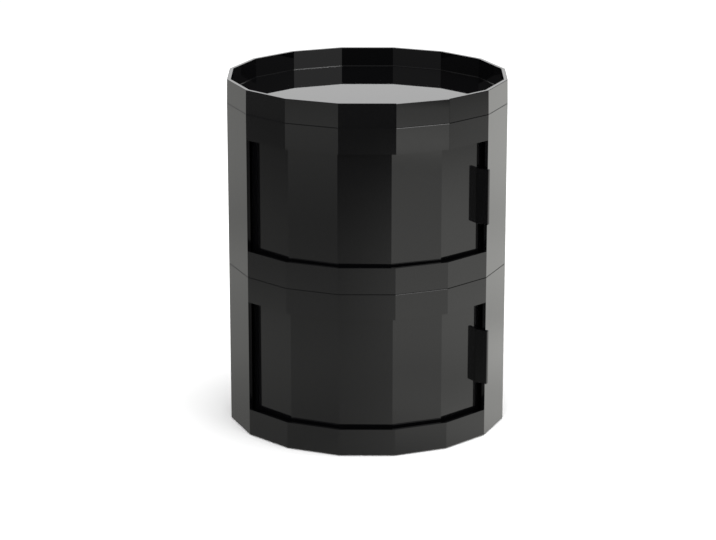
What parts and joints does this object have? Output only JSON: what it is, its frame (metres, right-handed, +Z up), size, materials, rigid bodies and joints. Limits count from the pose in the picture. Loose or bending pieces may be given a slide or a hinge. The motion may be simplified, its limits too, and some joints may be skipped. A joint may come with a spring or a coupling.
{
  "type": "side cabinet",
  "caption": "Round faceted stacking side cabinet in gloss black plastic, with curved sliding doors that have fin pulls, and a shallow tray top.",
  "frame": {"origin": "on the floor under the middle of the base", "axes": "+Z up along the cabinet's axis, the doors face -Y, +X to the right for someone who faces them"},
  "size_m": [0.3138, 0.3138, 0.4],
  "materials": {
    "casing_plastic": "black ABS, moulded in a polished tool",
    "door_plastic": "black ABS, moulded in a polished tool",
    "pull_plastic": "black ABS, moulded",
    "ring_plastic": "black acetal, moulded, slightly waxy",
    "glide_plastic": "black acetal, moulded, slightly waxy",
    "rubber": "black rubber, matte",
    "screw_steel": "bright zinc plated"
  },
  "bodies": {
    "lower_module": {"foot_pads": "rubber", "lower_casing": "casing_plastic", "lower_track_ring": "ring_plastic", "lower_track_ring_screws": "screw_steel", "lower_stop_bumpers": "rubber"},
    "lower_door": {"lower_door_panel": "door_plastic", "lower_door_pull": "pull_plastic", "lower_door_pull_screws": "screw_steel", "lower_door_bottom_glides": "glide_plastic", "lower_door_top_glides": "glide_plastic"},
    "upper_module": {"lower_guide_ring": "ring_plastic", "lower_guide_ring_screws": "screw_steel", "upper_casing": "casing_plastic", "upper_track_ring": "ring_plastic", "upper_track_ring_screws": "screw_steel", "upper_stop_bumpers": "rubber"},
    "upper_door": {"upper_door_panel": "door_plastic", "upper_door_pull": "pull_plastic", "upper_door_pull_screws": "screw_steel", "upper_door_bottom_glides": "glide_plastic", "upper_door_top_glides": "glide_plastic"},
    "tray": {"tray": "casing_plastic", "upper_guide_ring": "ring_plastic", "upper_guide_ring_screws": "screw_steel"}
  },
  "joints": [
    {"name": "lower_door_slide", "type": "hinge", "parent": "lower_module", "child": "lower_door", "pos_m": [0, 0, 0.094], "axis": [0, 0, 1], "range_deg": [-99.6, 0.3]},
    {"name": "upper_module_lift", "type": "slide", "parent": "lower_module", "child": "upper_module", "axis": [0, 0, 1], "range_m": [0, 0.06]},
    {"name": "upper_door_slide", "type": "hinge", "parent": "upper_module", "child": "upper_door", "pos_m": [0, 0, 0.28], "axis": [0, 0, 1], "range_deg": [-98.9, 1]},
    {"name": "tray_lift", "type": "slide", "parent": "upper_module", "child": "tray", "axis": [0, 0, 1], "range_m": [0, 0.06]}
  ]
}
